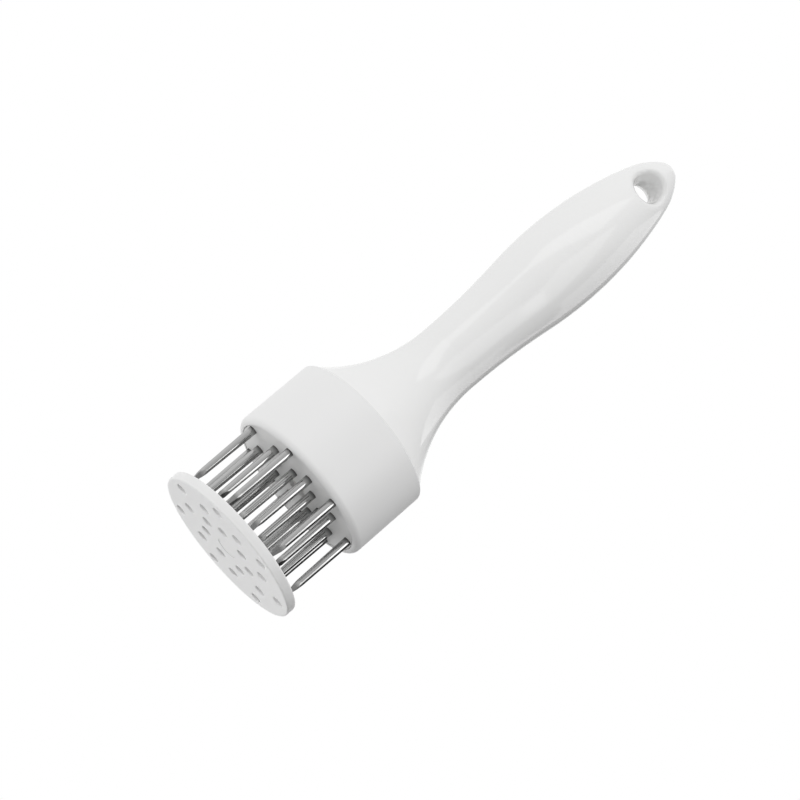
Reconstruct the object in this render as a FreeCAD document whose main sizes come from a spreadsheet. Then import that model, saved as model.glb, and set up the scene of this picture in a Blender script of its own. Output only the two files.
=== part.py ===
import FreeCAD, Part

import math
import os

import Sketcher
from FreeCAD import Placement, Rotation, Vector

# Needle press meat tenderizer, standing upright on its guard disc.
# The origin is the middle of the disc's lower face, and +Z runs up the tool's axis to the handle's tip.
# The needles' rings are counted from the side at -Y, turning towards +X.

# Driving sizes in millimetres and degrees, each with what it measures.
SIZES = [
    ("overall_length", 198.4, "disc's lower face to the handle's tip, guard out"),
    ("grip_below_tip", 52.4, "tip to the thickest place of the grip"),
    ("grip_radius", 15.35, "grip at its thickest"),
    ("grip_arc", 144.5, "arc of the grip's outline above its thickest place"),
    ("shoulder_arc", 27.3, "arc between the grip and the rounded tip"),
    ("tip_radius", 5.4, "rounded tip"),
    ("waist_above_seam", 37.7, "seam to the narrowest place of the handle"),
    ("waist_radius", 12.0, "handle at its narrowest"),
    ("waist_share", 0.645, "share of the waist to grip curve that is hollow"),
    ("seam_step", 0.6, "how far the handle's foot stands inside the sleeve's side"),
    ("hole_below_tip", 14.6, "tip to the axis of the hanging hole"),
    ("hanging_hole_radius", 3.8, "hanging hole at its throat"),
    ("hanging_hole_throat", 6.0, "straight throat of the hanging hole, end to end"),
    ("hanging_hole_flare", 18.3, "how far the hole's sides lean outwards past the throat, in degrees"),
    ("hanging_hole_ease", 4.0, "rounding between the throat and the leaning sides"),
    ("hanging_hole_round", 1.2, "rounded mouth of the hanging hole"),
    ("core_below_hole", 9.2, "solid between the hanging hole and the handle's core"),
    ("core_radius", 6.0, "upper core of the handle"),
    ("core_cone", 3.0, "rise of the cone that closes the core"),
    ("bore_radius", 8.0, "spring bore of the handle"),
    ("shoulder_above_seam", 47.8, "seam to the shoulder that the spring pushes on"),
    ("bell_step", 0.4, "straight wall of the handle's hollow just above the seam"),
    ("bell_height", 20.4, "seam to where the hollow has narrowed to the spring bore"),
    ("spigot_wall", 2.2, "wall of the handle's spigot"),
    ("spigot_clearance", 0.1, "between the spigot and the sleeve"),
    ("spigot_lead", 0.6, "chamfer at the spigot's end"),
    ("bead_above_spigot_end", 9.0, "spigot's end to the middle of the snap bead"),
    ("bead_height", 0.35, "how far the snap bead stands out"),
    ("bead_crest", 1.0, "width of the snap bead's crest"),
    ("bead_slope", 0.7, "width of each side of the snap bead"),
    ("sleeve_radius", 27.0, "outside of the sleeve"),
    ("sleeve_height", 27.3, "sleeve's lower edge to the seam"),
    ("sleeve_wall", 1.6, "wall of the sleeve"),
    ("ledge_width", 0.8, "ledge inside the sleeve that carries the needle plate"),
    ("lip_thickness", 2.4, "height of that ledge above the sleeve's lower edge"),
    ("sleeve_lower_round", 2.0, "outer rounding at the sleeve's lower edge"),
    ("sleeve_upper_round", 0.5, "outer rounding at the seam"),
    ("lip_round", 0.3, "rounding inside the sleeve's mouth"),
    ("plate_recess", 0.2, "how far the needle plate sits inside the mouth"),
    ("plate_thickness", 5.0, "needle plate"),
    ("plate_clearance", 0.15, "between a plate and the sleeve"),
    ("backing_thickness", 3.0, "backing plate"),
    ("plate_edge", 0.3, "chamfer round the backing plate"),
    ("needles_per_ring", 7, "needles in each of the three rings"),
    ("needle_edge_margin", 0.25, "outermost needles to the sleeve's mouth"),
    ("inner_ring", 10.15, "inner ring of needles"),
    ("middle_ring_share", 0.541, "place of the middle ring on the way from the inner to the outer one"),
    ("needle_radius", 1.45, "needle where it leaves the plate"),
    ("needle_taper", 0.25, "how much slimmer the needle is where its point starts"),
    ("needle_sink", 0.8, "how far the points lie inside the disc's holes at rest"),
    ("point_length", 6.8, "ground point of a needle"),
    ("point_width", 0.3, "flat left at the very tip"),
    ("needle_head_lip", 0.45, "how far a needle's head stands out past its shank"),
    ("needle_head_height", 1.2, "needle's head"),
    ("seat_clearance", 0.05, "between fitted pieces that don't move"),
    ("guard_gap", 25.5, "disc's upper face to the sleeve's lower edge"),
    ("disc_overhang", 0.3, "how far the disc stands out past the sleeve"),
    ("disc_thickness", 3.4, "guard disc"),
    ("disc_round", 0.5, "rounding at the disc's edges"),
    ("guard_clearance", 0.45, "between a needle and its hole in the disc"),
    ("guard_hole_round", 0.35, "rounding at the mouths of the disc's holes"),
    ("plug_radius", 3.7, "plug at the disc's middle"),
    ("plug_thickness", 1.1, "plug"),
    ("plug_recess", 0.1, "how far the plug lies inside the disc's lower face"),
    ("rod_radius", 1.2, "guide rod"),
    ("rod_head_radius", 2.6, "guide rod's head"),
    ("rod_head_height", 1.0, "guide rod's head"),
    ("rod_above_seat", 42.0, "how far the rod reaches above the spring seat"),
    ("rod_lead", 0.4, "chamfer at the rod's upper end"),
    ("running_clearance", 0.05, "between the rod and its bush"),
    ("push_nut_radius", 3.4, "push nut above the disc"),
    ("push_nut_thickness", 0.5, "push nut"),
    ("push_nut_slot", 0.6, "width of the push nut's slots"),
    ("push_nut_slot_length", 1.0, "push nut's slots, out from the rod"),
    ("push_nut_fingers", 3, "fingers between the push nut's slots"),
    ("pocket_radius", 3.9, "pocket in the needle plate that clears the push nut"),
    ("pocket_depth", 1.2, "that pocket"),
    ("bush_radius", 3.0, "guide bush"),
    ("bush_flange_radius", 5.0, "flange of the guide bush"),
    ("bush_flange_height", 1.2, "flange of the guide bush"),
    ("clip_radius", 3.0, "stop clip"),
    ("clip_thickness", 0.6, "stop clip"),
    ("clip_depth", 0.35, "depth of the rod's groove"),
    ("clip_mouth", 1.5, "open side of the stop clip"),
    ("stop_gap", 0.05, "between the stop clip and the bush at rest"),
    ("seat_inset", 0.6, "edge of the spring seat to the spring bore's wall"),
    ("seat_thickness", 1.0, "spring seat's plate"),
    ("seat_hub_height", 3.0, "hub of the spring seat, inside the spring"),
    ("wire_radius", 0.5, "spring wire"),
    ("spring_clearance", 0.8, "between the spring's wire and its bore, and the hub inside it"),
    ("spring_turns", 15, "open turns of the spring"),
    ("end_turn_pitch", 1.6, "rise of the closed turn at each end"),
    ("spring_seat_gap", 0.05, "between the spring and what it pushes on"),
    ("screw_radius", 1.1, "plate screw's shank"),
    ("screw_head_radius", 2.1, "plate screw's head"),
    ("screw_head_height", 1.4, "plate screw's head"),
    ("screw_depth", 3.6, "plate screws' reach into the needle plate"),
    ("screw_slot_length", 2.5, "plate screw's cross recess from end to end"),
    ("screw_slot_width", 0.6, "plate screw's cross recess"),
    ("screw_slot_depth", 0.8, "plate screw's cross recess"),
]

# Places and fitted sizes that follow from the driving sizes.
PLACES = [
    ("sleeve_bottom", "sizes.disc_thickness + sizes.guard_gap"),
    ("seam_height", "sleeve_bottom + sizes.sleeve_height"),
    ("sleeve_bore", "sizes.sleeve_radius - sizes.sleeve_wall"),
    ("lip_radius", "sleeve_bore - sizes.ledge_width"),
    ("ledge_height", "sleeve_bottom + sizes.lip_thickness"),
    ("spigot_radius", "sleeve_bore - sizes.spigot_clearance"),
    ("spigot_bore", "spigot_radius - sizes.spigot_wall"),
    ("seam_radius", "sizes.sleeve_radius - sizes.seam_step"),
    ("plate_bottom", "sleeve_bottom + sizes.plate_recess"),
    ("plate_top", "plate_bottom + sizes.plate_thickness"),
    ("backing_top", "plate_top + sizes.backing_thickness"),
    ("plate_radius", "lip_radius - sizes.plate_clearance"),
    ("flange_radius", "sleeve_bore - sizes.plate_clearance"),
    ("bead_radius", "spigot_radius + sizes.bead_height"),
    ("bead_middle", "backing_top + sizes.bead_above_spigot_end"),
    ("bead_reach", "sizes.bead_crest / 2 + sizes.bead_slope"),
    ("waist_height", "seam_height + sizes.waist_above_seam"),
    ("grip_height", "sizes.overall_length - sizes.grip_below_tip"),
    ("hole_height", "sizes.overall_length - sizes.hole_below_tip"),
    ("hole_throat_end", "sizes.hanging_hole_throat / 2"),
    ("hole_lean", "(sizes.grip_radius - hole_throat_end) * tan(sizes.hanging_hole_flare)"),
    ("hole_mouth", "sizes.hanging_hole_radius + hole_lean"),
    ("swell", "sizes.grip_radius - sizes.waist_radius"),
    ("both_arcs", "(swell ^ 2 + (grip_height - waist_height) ^ 2) / (2 * swell)"),
    ("hollow_arc", "both_arcs * sizes.waist_share"),
    ("core_top", "hole_height - sizes.hanging_hole_radius - sizes.core_below_hole"),
    ("spring_top", "seam_height + sizes.shoulder_above_seam"),
    ("outer_ring", "lip_radius - sizes.needle_edge_margin - sizes.needle_radius"),
    ("inner_ring", "sizes.inner_ring"),
    ("middle_ring", "inner_ring + (outer_ring - inner_ring) * sizes.middle_ring_share"),
    ("screw_ring", "(inner_ring + outer_ring) / 2"),
    ("needle_bore", "sizes.needle_radius + sizes.seat_clearance"),
    ("needle_head_radius", "sizes.needle_radius + sizes.needle_head_lip"),
    ("needle_head_bottom", "plate_top - sizes.needle_head_height"),
    ("needle_tip", "sizes.disc_thickness - sizes.needle_sink"),
    ("point_top", "needle_tip + sizes.point_length"),
    ("point_radius", "sizes.needle_radius - sizes.needle_taper"),
    ("disc_radius", "sizes.sleeve_radius + sizes.disc_overhang"),
    ("guard_hole_radius", "sizes.needle_radius + sizes.guard_clearance"),
    ("screw_bottom", "plate_top - sizes.screw_depth"),
    ("rod_head_bottom", "sizes.plug_recess + sizes.plug_thickness"),
    ("rod_head_top", "rod_head_bottom + sizes.rod_head_height"),
    ("bush_top", "backing_top + sizes.bush_flange_height"),
    ("bush_bottom", "plate_bottom + sizes.pocket_depth"),
    ("clip_bottom", "bush_top + sizes.stop_gap"),
    ("clip_top", "clip_bottom + sizes.clip_thickness"),
    ("seat_top", "clip_top + sizes.seat_thickness"),
    ("rod_top", "seat_top + sizes.rod_above_seat"),
    ("groove_radius", "sizes.rod_radius - sizes.clip_depth"),
    ("coil_radius", "sizes.bore_radius - sizes.spring_clearance - sizes.wire_radius"),
    ("hub_radius", "coil_radius - sizes.wire_radius - sizes.spring_clearance"),
    ("seat_radius", "sizes.bore_radius - sizes.seat_inset"),
    ("ring_step", "360 / sizes.needles_per_ring"),
]

document = FreeCAD.newDocument("needle_press_tenderizer")


def fill_sheet(name, rows, prefix, notes):
    """One alias to each row: its name, its value or formula, and what it measures."""
    sheet = document.addObject("Spreadsheet::Sheet", name)
    for number, row in enumerate(rows, start=1):
        sheet.set(f"A{number}", row[0])
        sheet.set(f"B{number}", prefix + str(row[1]))
        sheet.setAlias(f"B{number}", row[0])
        if notes:
            sheet.set(f"C{number}", row[2])
    document.recompute()
    return sheet


sizes = fill_sheet("sizes", SIZES, "", True)
places = fill_sheet("places", PLACES, "=", False)


def new_body(label):
    body = document.addObject("PartDesign::Body", label)
    body.Label = label
    return body


def origin_plane(body, role):
    return next(item for item in body.Origin.OriginFeatures if item.Role == role)


def new_sketch(body, name, role, height=None):
    """A sketch on one of the body's own origin planes, lifted to a height where one is given."""
    sketch = body.newObject("Sketcher::SketchObject", name)
    sketch.AttachmentSupport = [(origin_plane(body, role), "")]
    sketch.MapMode = "FlatFace"
    if height:
        sketch.setExpression("AttachmentOffset.Base.z", height)
    return sketch


def tie_point(sketch, element, end, across, up):
    """Ties one point of a sketch, from where it is drawn, to the values that give its place."""
    drawn = sketch.getPoint(element, end)
    ways = (("DistanceX", across, -2, drawn.x), ("DistanceY", up, -1, drawn.y))
    for kind, value, axis, distance in ways:
        if value == "0":
            sketch.addConstraint(Sketcher.Constraint("PointOnObject", element, end, axis))
        else:
            tie_size(sketch, Sketcher.Constraint(kind, -1, 1, element, end, distance), value)


def tie_size(sketch, constraint, value):
    number = sketch.addConstraint(constraint)
    sketch.setExpression(f"Constraints[{number}]", value)


def outline(sketch, points, first=0):
    """A closed outline of straight lines, each corner tied to the sheet."""
    count = len(points)
    start = []
    for number in range(count):
        turn = 2 * math.pi * (number + 0.5) / count
        start.append(Vector(20 + 15 * math.cos(turn), 40 + 15 * math.sin(turn), 0))
    for number in range(count):
        line = Part.LineSegment(start[number], start[(number + 1) % count])
        sketch.addGeometry(line, False)
    for number in range(count):
        following = first + (number + 1) % count
        joint = Sketcher.Constraint("Coincident", first + number, 2, following, 1)
        sketch.addConstraint(joint)
    for number, (across, up) in enumerate(points):
        tie_point(sketch, first + number, 1, across, up)


def circle(sketch, across, up, radius):
    number = sketch.addGeometry(Part.Circle(Vector(5, 5, 0), Vector(0, 0, 1), 2.0), False)
    tie_point(sketch, number, 3, across, up)
    tie_size(sketch, Sketcher.Constraint("Radius", number, 2.0), radius)


def revolve(body, sketch, name):
    feature = body.newObject("PartDesign::Revolution", name)
    feature.Profile = sketch
    feature.ReferenceAxis = (sketch, ["V_Axis"])
    feature.Angle = 360
    return feature


def turned(label, points):
    """A body turned about its own vertical axis from one outline."""
    body = new_body(label)
    sketch = new_sketch(body, label + "_section", "XZ_Plane")
    outline(sketch, points)
    revolve(body, sketch, label + "_turned")
    document.recompute()
    return body


def pad(body, sketch, name, length):
    feature = body.newObject("PartDesign::Pad", name)
    feature.Profile = sketch
    feature.setExpression("Length", length)
    return feature


def pocket_through(body, sketch, name):
    """A cut that runs both ways from its sketch through the whole body."""
    feature = body.newObject("PartDesign::Pocket", name)
    feature.Profile = sketch
    feature.SideType = "Symmetric"
    feature.Type = "ThroughAll"
    return feature


def pocket_up(body, sketch, name, depth):
    """A cut that starts at its sketch and goes towards +Z."""
    feature = body.newObject("PartDesign::Pocket", name)
    feature.Profile = sketch
    feature.Reversed = True
    feature.setExpression("Length", depth)
    return feature


def pattern(body, feature, name, count):
    """The feature repeated evenly round the body's vertical axis."""
    ring = body.newObject("PartDesign::PolarPattern", name)
    ring.Originals = [feature]
    ring.Axis = (origin_plane(body, "Z_Axis"), [""])
    ring.Angle = 360
    ring.setExpression("Occurrences", count)
    body.Tip = ring
    document.recompute()
    return ring


def circles_on(shape, radius, height=None):
    """Names of the whole round edges of one radius, at one height where it is given."""
    names = []
    for number, edge in enumerate(shape.Edges, start=1):
        if edge.Degenerated:
            continue
        curve = edge.Curve
        if not isinstance(curve, Part.Circle) or abs(curve.Radius - radius) > 0.001:
            continue
        if height is None or abs(curve.Center.z - height) < 0.001:
            names.append(f"Edge{number}")
    return names


def soften(body, name, kind, edges, size):
    """A fillet or chamfer on named edges of the body's last feature."""
    base = body.Tip
    feature = body.newObject("PartDesign::" + kind, name)
    feature.Base = (base, edges)
    feature.setExpression("Radius" if kind == "Fillet" else "Size", size)
    body.Tip = feature
    document.recompute()
    return feature


# Offsets from -Y of the rings: the outer and inner needles stand half a step round from the middle ones.
HALF_STEP = {"outer_ring": 0.5, "middle_ring": 0.0, "inner_ring": 0.5}
# The plate screws stand between the middle needles, on these steps.
SCREW_STEPS = (1.5, 3.5, 5.5)


def ring_point(ring, step):
    """The place of a needle, as two formulas: steps are counted from -Y towards +X."""
    turn = f"places.ring_step * {step}"
    return f"places.{ring} * sin({turn})", f"-places.{ring} * cos({turn})"


def first_needles(sketch, radius):
    """One round hole in each ring, which a pattern then repeats."""
    for ring, step in HALF_STEP.items():
        across, up = ring_point(ring, step)
        circle(sketch, "0" if step == 0 else across, up, radius)


def screw_holes(sketch):
    """A round hole for each plate screw."""
    for step in SCREW_STEPS:
        across, up = ring_point("screw_ring", step)
        circle(sketch, across, up, "sizes.screw_radius + sizes.seat_clearance")


# Handle

def arc_between(centre, start, end):
    """The short arc from one point to another, and which of its ends the start is."""
    first = math.atan2(start.y - centre.y, start.x - centre.x)
    last = math.atan2(end.y - centre.y, end.x - centre.x)
    ring = Part.Circle(centre, Vector(0, 0, 1), (start - centre).Length)
    if math.sin(last - first) > 0:
        return Part.ArcOfCircle(ring, first, last), 1
    return Part.ArcOfCircle(ring, last, first), 2


def circles_meet(centre, radius, other_centre, other_radius):
    """Where two circles cross, on the side away from the axis."""
    between = other_centre - centre
    along = (radius**2 - other_radius**2 + between.Length**2) / (2 * between.Length)
    aside = math.sqrt(radius**2 - along**2)
    heading = Vector(between).normalize()
    square = Vector(heading.y, -heading.x, 0)
    found = [centre + heading * along + square * side for side in (aside, -aside)]
    return max(found, key=lambda point: point.x)


def handle_stretches():
    """Centre, start and end of each arc of the handle's outline, from the seam up."""
    seam = Vector(places.seam_radius, places.seam_height, 0)
    waist = Vector(sizes.waist_radius, places.waist_height, 0)
    swell = Vector(sizes.grip_radius, places.grip_height, 0)
    end = Vector(0, sizes.overall_length, 0)
    step = seam.x - waist.x
    flare_arc = (step**2 + (waist.y - seam.y) ** 2) / (2 * step)
    full_arc = places.both_arcs - places.hollow_arc
    flare = waist + Vector(flare_arc, 0, 0)
    hollow = waist + Vector(places.hollow_arc, 0, 0)
    full = swell - Vector(full_arc, 0, 0)
    grip = swell - Vector(sizes.grip_arc, 0, 0)
    tip = end - Vector(0, sizes.tip_radius, 0)
    from_grip = sizes.grip_arc - sizes.shoulder_arc
    shoulder = circles_meet(grip, from_grip, tip, sizes.shoulder_arc - sizes.tip_radius)
    turn = full + (hollow - full).normalize() * full_arc
    grip_end = grip + (shoulder - grip).normalize() * sizes.grip_arc
    tip_start = shoulder + (tip - shoulder).normalize() * sizes.shoulder_arc
    return [
        (flare, seam, waist),
        (hollow, waist, turn),
        (full, turn, swell),
        (grip, swell, grip_end),
        (shoulder, grip_end, tip_start),
        (tip, tip_start, end),
    ]


def draw_handle_outside(sketch):
    """The six arcs of the handle's outline. Returns the end that lies on the axis."""
    ends = []
    for number, (centre, start, end) in enumerate(handle_stretches()):
        arc, start_end = arc_between(centre, start, end)
        sketch.addGeometry(arc, False)
        ends.append(start_end)
        if number:
            smooth = ("Tangent", number - 1, 3 - ends[number - 1], number, start_end)
            sketch.addConstraint(Sketcher.Constraint(*smooth))
    tie_point(sketch, 0, ends[0], "places.seam_radius", "places.seam_height")
    tie_point(sketch, 1, ends[1], "sizes.waist_radius", "places.waist_height")
    tie_point(sketch, 3, ends[3], "sizes.grip_radius", "places.grip_height")
    tie_point(sketch, 5, 3 - ends[5], "0", "sizes.overall_length")
    sketch.addConstraint(Sketcher.Constraint("PointOnObject", 5, 3, -2))
    for number, height in ((0, "places.waist_height"), (2, "places.grip_height")):
        drawn = sketch.getPoint(number, 3).y
        tie_size(sketch, Sketcher.Constraint("DistanceY", -1, 1, number, 3, drawn), height)
    radii = (
        (1, "places.hollow_arc"),
        (3, "sizes.grip_arc"),
        (4, "sizes.shoulder_arc"),
        (5, "sizes.tip_radius"),
    )
    for number, size in radii:
        drawn = sketch.Geometry[number].Radius
        tie_size(sketch, Sketcher.Constraint("Radius", number, drawn), size)
    return 3 - ends[5], ends[0]


def draw_handle_inside(sketch, tip_end, seam_end):
    """The straight lines from the tip down the axis, round the core, bore and spigot, and out to the seam."""
    corners = [
        ("0", "places.core_top"),
        ("sizes.core_radius", "places.core_top - sizes.core_cone"),
        ("sizes.core_radius", "places.spring_top"),
        ("sizes.bore_radius", "places.spring_top"),
        ("sizes.bore_radius", "places.seam_height + sizes.bell_height"),
        ("places.spigot_bore", "places.seam_height + sizes.bell_step"),
        ("places.spigot_bore", "places.backing_top"),
        ("places.spigot_radius - sizes.spigot_lead", "places.backing_top"),
        ("places.spigot_radius", "places.backing_top + sizes.spigot_lead"),
        ("places.spigot_radius", "places.bead_middle - places.bead_reach"),
        ("places.bead_radius", "places.bead_middle - sizes.bead_crest / 2"),
        ("places.bead_radius", "places.bead_middle + sizes.bead_crest / 2"),
        ("places.spigot_radius", "places.bead_middle + places.bead_reach"),
        ("places.spigot_radius", "places.seam_height"),
    ]
    first = 6
    drawn = [Vector(0, sizes.overall_length, 0)]
    for number in range(len(corners)):
        turn = math.pi * number / (len(corners) - 1)
        drawn.append(Vector(1 + 12 * math.sin(turn), 110 + 50 * math.cos(turn), 0))
    drawn.append(Vector(places.seam_radius, places.seam_height, 0))
    for number in range(len(drawn) - 1):
        sketch.addGeometry(Part.LineSegment(drawn[number], drawn[number + 1]), False)
    joints = [(5, tip_end, first, 1)]
    for number in range(first, first + len(corners)):
        joints.append((number, 2, number + 1, 1))
    joints.append((first + len(corners), 2, 0, seam_end))
    for joint in joints:
        sketch.addConstraint(Sketcher.Constraint("Coincident", *joint))
    for number, (across, up) in enumerate(corners, start=first + 1):
        tie_point(sketch, number, 1, across, up)


def cut_hanging_hole(body):
    """A hole along Y: a straight throat whose sides lean outwards to the handle's front and back."""
    section = new_sketch(body, "hanging_hole_section", "YZ_Plane")
    section.setExpression("AttachmentOffset.Base.y", "places.hole_height")
    outline(section, [
        ("-sizes.grip_radius", "0"),
        ("-sizes.grip_radius", "places.hole_mouth"),
        ("-places.hole_throat_end", "sizes.hanging_hole_radius"),
        ("places.hole_throat_end", "sizes.hanging_hole_radius"),
        ("sizes.grip_radius", "places.hole_mouth"),
        ("sizes.grip_radius", "0"),
    ])
    hole = body.newObject("PartDesign::Groove", "hanging_hole")
    hole.Profile = section
    hole.ReferenceAxis = (section, ["H_Axis"])
    hole.Angle = 360
    body.Tip = hole
    document.recompute()


def hole_mouth_edges(shape):
    """Names of the edges where the hanging hole meets the handle's outside."""
    names = []
    for number, edge in enumerate(shape.Edges, start=1):
        box = edge.BoundBox
        wide = max(abs(box.XMin), abs(box.XMax)) < places.hole_mouth
        level = abs((box.ZMin + box.ZMax) / 2 - places.hole_height) < places.hole_mouth
        outside = min(abs(box.YMin), abs(box.YMax)) > sizes.hanging_hole_radius
        if wide and level and outside and not isinstance(edge.Curve, Part.Line):
            names.append(f"Edge{number}")
    return names


def make_handle():
    body = new_body("handle")
    sketch = new_sketch(body, "handle_section", "XZ_Plane")
    tip_end, seam_end = draw_handle_outside(sketch)
    draw_handle_inside(sketch, tip_end, seam_end)
    revolve(body, sketch, "handle_turned")
    document.recompute()
    cut_hanging_hole(body)
    throat = circles_on(body.Tip.Shape, sizes.hanging_hole_radius)
    soften(body, "hanging_hole_throat", "Fillet", throat, "sizes.hanging_hole_ease")
    mouths = hole_mouth_edges(body.Tip.Shape)
    soften(body, "hanging_hole_mouths", "Fillet", mouths, "sizes.hanging_hole_round")
    return body


# Sleeve and needle block

def make_sleeve():
    groove_radius = "places.sleeve_bore + sizes.bead_height"
    half_crest = "sizes.bead_crest / 2 + sizes.spigot_clearance"
    half_groove = "places.bead_reach + sizes.spigot_clearance"
    body = turned("head_sleeve", [
        ("places.lip_radius", "places.sleeve_bottom"),
        ("sizes.sleeve_radius", "places.sleeve_bottom"),
        ("sizes.sleeve_radius", "places.seam_height"),
        ("places.sleeve_bore", "places.seam_height"),
        ("places.sleeve_bore", f"places.bead_middle + {half_groove}"),
        (groove_radius, f"places.bead_middle + {half_crest}"),
        (groove_radius, f"places.bead_middle - ({half_crest})"),
        ("places.sleeve_bore", f"places.bead_middle - ({half_groove})"),
        ("places.sleeve_bore", "places.ledge_height"),
        ("places.lip_radius", "places.ledge_height"),
    ])
    lower = circles_on(body.Tip.Shape, sizes.sleeve_radius, places.sleeve_bottom)
    soften(body, "lower_edge", "Fillet", lower, "sizes.sleeve_lower_round")
    upper = circles_on(body.Tip.Shape, sizes.sleeve_radius, places.seam_height)
    soften(body, "upper_edge", "Fillet", upper, "sizes.sleeve_upper_round")
    mouth = circles_on(body.Tip.Shape, places.lip_radius, places.sleeve_bottom)
    soften(body, "mouth_edge", "Fillet", mouth, "sizes.lip_round")
    return body


def make_needle_plate():
    bush_hole = "sizes.bush_radius + sizes.seat_clearance"
    body = turned("needle_plate", [
        ("sizes.pocket_radius", "places.plate_bottom"),
        ("places.plate_radius", "places.plate_bottom"),
        ("places.plate_radius", "places.ledge_height"),
        ("places.flange_radius", "places.ledge_height"),
        ("places.flange_radius", "places.plate_top"),
        (bush_hole, "places.plate_top"),
        (bush_hole, "places.bush_bottom"),
        ("sizes.pocket_radius", "places.bush_bottom"),
    ])
    shanks = new_sketch(body, "needle_holes_section", "XY_Plane", "places.plate_bottom")
    first_needles(shanks, "places.needle_bore")
    holes = pocket_through(body, shanks, "needle_holes")
    pattern(body, holes, "needle_hole_ring", "sizes.needles_per_ring")
    heads = new_sketch(body, "needle_heads_section", "XY_Plane", "places.needle_head_bottom")
    first_needles(heads, "places.needle_head_radius + sizes.seat_clearance")
    seats = pocket_up(body, heads, "needle_head_seats", "sizes.needle_head_height")
    pattern(body, seats, "needle_head_ring", "sizes.needles_per_ring")
    pilots = new_sketch(body, "screw_holes_section", "XY_Plane", "places.screw_bottom")
    screw_holes(pilots)
    pocket_up(body, pilots, "screw_holes", "sizes.screw_depth + sizes.seat_clearance")
    document.recompute()
    return body


def make_backing_plate():
    bush_hole = "sizes.bush_radius + sizes.seat_clearance"
    body = turned("backing_plate", [
        (bush_hole, "places.plate_top"),
        ("places.flange_radius - sizes.plate_edge", "places.plate_top"),
        ("places.flange_radius", "places.plate_top + sizes.plate_edge"),
        ("places.flange_radius", "places.backing_top - sizes.plate_edge"),
        ("places.flange_radius - sizes.plate_edge", "places.backing_top"),
        (bush_hole, "places.backing_top"),
    ])
    sketch = new_sketch(body, "screw_holes_section", "XY_Plane", "places.plate_top")
    screw_holes(sketch)
    pocket_through(body, sketch, "screw_holes")
    document.recompute()
    return body


def make_needle(label, ring, step):
    """One steel needle about its own axis: head, tapering shank and a point ground on four sides."""
    body = turned(label, [
        ("0", "places.needle_tip"),
        ("places.point_radius", "places.needle_tip"),
        ("places.point_radius", "places.point_top"),
        ("sizes.needle_radius", "places.plate_bottom"),
        ("sizes.needle_radius", "places.needle_head_bottom"),
        ("places.needle_head_radius", "places.needle_head_bottom"),
        ("places.needle_head_radius", "places.plate_top"),
        ("0", "places.plate_top"),
    ])
    for side in ("XZ_Plane", "YZ_Plane"):
        sketch = new_sketch(body, f"{label}_{side[:2]}_grind", side)
        below = "places.needle_tip - sizes.needle_radius"
        for first, sign in ((0, ""), (4, "-")):
            outline(sketch, [
                (f"{sign}places.point_radius", "places.point_top"),
                (f"{sign}sizes.point_width / 2", "places.needle_tip"),
                (f"{sign}sizes.point_width / 2", below),
                (f"{sign}sizes.needle_radius", below),
            ], first)
        pocket_through(body, sketch, f"{label}_{side[:2]}_ground")
    document.recompute()
    across, up = ring_point(ring, step)
    body.setExpression("Placement.Base.x", across)
    body.setExpression("Placement.Base.y", up)
    body.Placement = Placement(Vector(0, 0, 0), Rotation(Vector(0, 0, 1), 1))
    body.setExpression("Placement.Rotation.Angle", f"places.ring_step * {step}")
    return body


def make_needles():
    """Every needle, ring by ring from the outside in."""
    made = []
    for ring, offset in HALF_STEP.items():
        for number in range(int(sizes.needles_per_ring)):
            label = f"needle_{len(made) + 1:02d}"
            made.append(make_needle(label, ring, number + offset))
    return made


def recess_bar(name, along, across):
    """One bar of a screw's cross recess, from its bottom to above the head."""
    bar = document.addObject("Part::Box", name)
    bar.setExpression("Length", f"sizes.{along}")
    bar.setExpression("Width", f"sizes.{across}")
    bar.setExpression("Height", "sizes.screw_slot_depth * 2")
    bar.setExpression("Placement.Base.x", f"-sizes.{along} / 2")
    bar.setExpression("Placement.Base.y", f"-sizes.{across} / 2")
    head_top = "places.backing_top + sizes.screw_head_height"
    bar.setExpression("Placement.Base.z", f"{head_top} - sizes.screw_slot_depth")
    return bar


def make_plate_screws():
    """The screws that hold the backing plate: shank, head and cross recess each."""
    made = []
    for number, step in enumerate(SCREW_STEPS, start=1):
        name = f"plate_screw_{number}"
        shank = document.addObject("Part::Cylinder", name + "_shank")
        shank.setExpression("Radius", "sizes.screw_radius")
        shank.setExpression("Height", "sizes.screw_depth + sizes.backing_thickness")
        shank.setExpression("Placement.Base.z", "places.screw_bottom")
        head = document.addObject("Part::Cylinder", name + "_head")
        head.setExpression("Radius", "sizes.screw_head_radius")
        head.setExpression("Height", "sizes.screw_head_height")
        head.setExpression("Placement.Base.z", "places.backing_top")
        whole = document.addObject("Part::Fuse", name + "_whole")
        whole.Base = shank
        whole.Tool = head
        cross = document.addObject("Part::Fuse", name + "_cross")
        cross.Base = recess_bar(name + "_slot_along", "screw_slot_length", "screw_slot_width")
        cross.Tool = recess_bar(name + "_slot_across", "screw_slot_width", "screw_slot_length")
        screw = document.addObject("Part::Cut", name)
        screw.Base = whole
        screw.Tool = cross
        across, up = ring_point("screw_ring", step)
        screw.setExpression("Placement.Base.x", across)
        screw.setExpression("Placement.Base.y", up)
        made.append(screw)
    group = document.addObject("Part::Compound", "plate_screws")
    group.Label = "plate_screws"
    group.Links = made
    document.recompute()
    return group


# Guard disc, its rod and the spring

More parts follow.
